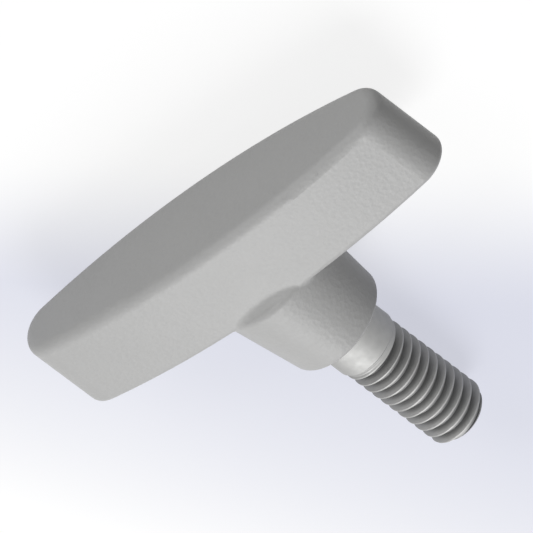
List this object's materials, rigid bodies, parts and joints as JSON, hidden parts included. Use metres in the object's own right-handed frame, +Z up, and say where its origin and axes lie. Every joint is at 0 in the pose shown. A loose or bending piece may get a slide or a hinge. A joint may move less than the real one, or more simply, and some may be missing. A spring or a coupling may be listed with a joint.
{
  "type": "wing knob",
  "caption": "Wing knob with a flat-topped, lens-shaped wing over a tapered round hub, and a threaded steel stud with a plain neck.",
  "frame": {"origin": "on the surface that the knob lies on, under the middle of its outer box", "axes": "+Z up from that surface; +X along the wing; the stud points along -Y, its tip down by about 6 degrees"},
  "size_m": [0.0524, 0.0442, 0.0152],
  "materials": {
    "head": "satin",
    "stud": "satin"
  },
  "bodies": {
    "root": {"wing_head": "head", "threaded_stud": "stud"}
  },
  "joints": []
}
